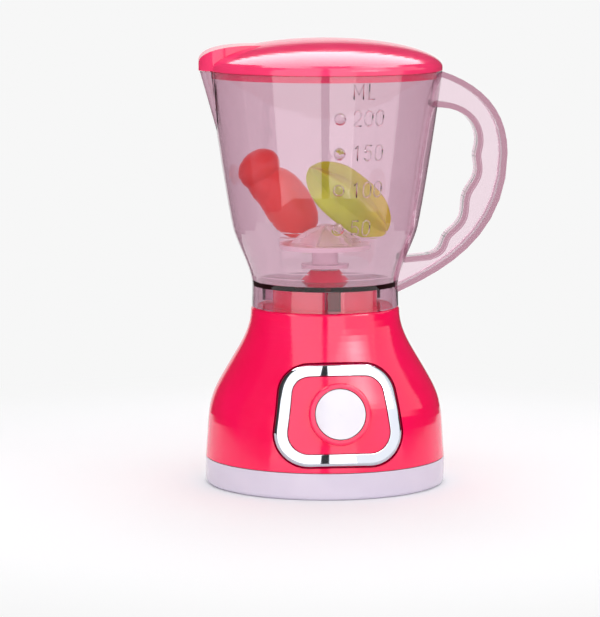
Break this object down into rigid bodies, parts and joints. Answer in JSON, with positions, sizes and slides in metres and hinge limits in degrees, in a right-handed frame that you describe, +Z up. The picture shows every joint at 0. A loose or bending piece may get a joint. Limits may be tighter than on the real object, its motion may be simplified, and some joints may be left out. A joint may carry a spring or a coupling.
{
  "type": "toy blender",
  "caption": "Toy kitchen blender: bell-shaped battery base with push button, keyed smoky clear jug with flanged handle, turning stirrer, toy fruits and domed lid with spout tongue.",
  "frame": {"origin": "middle of the underside of the base, on the table, on the stirrer's axis", "axes": "+Z up along the stirrer's axis; the button faces -Y; the handle points to +X and the spout to -X"},
  "size_m": [0.1087, 0.0855, 0.1564],
  "materials": {
    "pink_abs": "glossy injection-moulded ABS, hot pink",
    "lid_pink": "glossy injection-moulded ABS, lid pink",
    "pearl_abs": "glossy white ABS with a lavender tint",
    "smoke_clear": "transparent smoke-tinted polystyrene",
    "plated_abs": "chrome-plated ABS trim",
    "nylon": "natural nylon or acetal",
    "dark_plastic": "dark moulded plastic",
    "steel": "bright steel",
    "plated_steel": "nickel-plated spring steel sheet",
    "brass": "turned brass",
    "magnet": "ferrite",
    "armature": "laminations with enamelled copper wire",
    "board": "paper-phenolic board",
    "cell": "AA cell in a plain printed sleeve",
    "red_lead": "red PVC insulation",
    "black_lead": "black PVC insulation",
    "red_fruit": "soft satin PVC, red",
    "star_fruit": "soft satin PVC, yellow-green"
  },
  "bodies": {
    "base": {"housing": "pink_abs", "bottom_cover": "pearl_abs", "panel_ring": "plated_abs", "gear_deck": "nylon", "spindle_bush": "brass", "deck_screws": "steel", "cover_screws": "steel", "motor_can": "steel", "motor_end_cap": "nylon", "motor_magnets": "magnet", "motor_terminals": "brass", "button_spring": "steel", "push_switch": "dark_plastic", "switch_board": "board", "board_screws": "steel", "cell_front": "cell", "cell_rear": "cell", "contact_positive": "plated_steel", "contact_negative": "plated_steel", "bridge_contact": "plated_steel", "contact_springs": "plated_steel", "red_lead": "red_lead", "black_lead": "black_lead", "motor_lead": "red_lead"},
    "drive_train": {"drive_gear": "nylon", "drive_spindle": "steel", "drive_coupler": "nylon"},
    "motor_rotor": {"motor_shaft": "steel", "motor_armature": "armature", "pinion": "brass"},
    "push_button": {"button": "pearl_abs", "switch_plunger": "dark_plastic"},
    "door": {"battery_door": "pearl_abs", "door_screw": "steel"},
    "jug_body": {"jug": "smoke_clear", "bearing_cone": "pink_abs"},
    "stirrer": {"rotor": "pearl_abs", "rotor_washer": "pearl_abs", "rotor_shaft": "steel", "rotor_coupler": "nylon"},
    "lid_body": {"lid": "lid_pink"},
    "red_toy": {"red_fruit": "red_fruit"},
    "star_toy": {"star_fruit": "star_fruit"}
  },
  "joints": [
    {"name": "button_press", "type": "slide", "parent": "base", "child": "push_button", "axis": [0, 0.9781, -0.2079], "range_m": [0, 0.002], "stiffness_N_per_m": 300, "springref_m": -0.004, "deforming": ["button_spring"]},
    {"name": "spindle_spin", "type": "hinge", "parent": "base", "child": "drive_train", "pos_m": [0, 0, 0.05], "axis": [0, 0, 1], "continuous": true},
    {"name": "pinion_spin", "type": "hinge", "parent": "base", "child": "motor_rotor", "pos_m": [0, 0.014, 0.05], "axis": [0, 0, 1], "continuous": true},
    {"name": "door_swing", "type": "hinge", "parent": "base", "child": "door", "pos_m": [-0.031, 0, 0.0002], "axis": [0, 1, 0], "range_deg": [0, 70]},
    {"name": "jug_lift", "type": "slide", "parent": "base", "child": "jug_body", "axis": [0, 0, 1], "range_m": [0, 0.012]},
    {"name": "stirrer_spin", "type": "hinge", "parent": "jug_body", "child": "stirrer", "pos_m": [0, 0, 0.08], "axis": [0, 0, 1], "continuous": true},
    {"name": "lid_lift", "type": "slide", "parent": "jug_body", "child": "lid_body", "axis": [0, 0, 1], "range_m": [0, 0.012]},
    {"name": "red_fruit_lift", "type": "slide", "parent": "jug_body", "child": "red_toy", "axis": [0, 0, 1], "range_m": [0, 0.02]},
    {"name": "star_fruit_lift", "type": "slide", "parent": "jug_body", "child": "star_toy", "axis": [0, 0, 1], "range_m": [0, 0.02]}
  ],
  "couplings": [
    {"joint": "pinion_spin", "follows": "spindle_spin", "ratio": -3.6667},
    {"joint": "stirrer_spin", "follows": "spindle_spin", "ratio": 1}
  ]
}
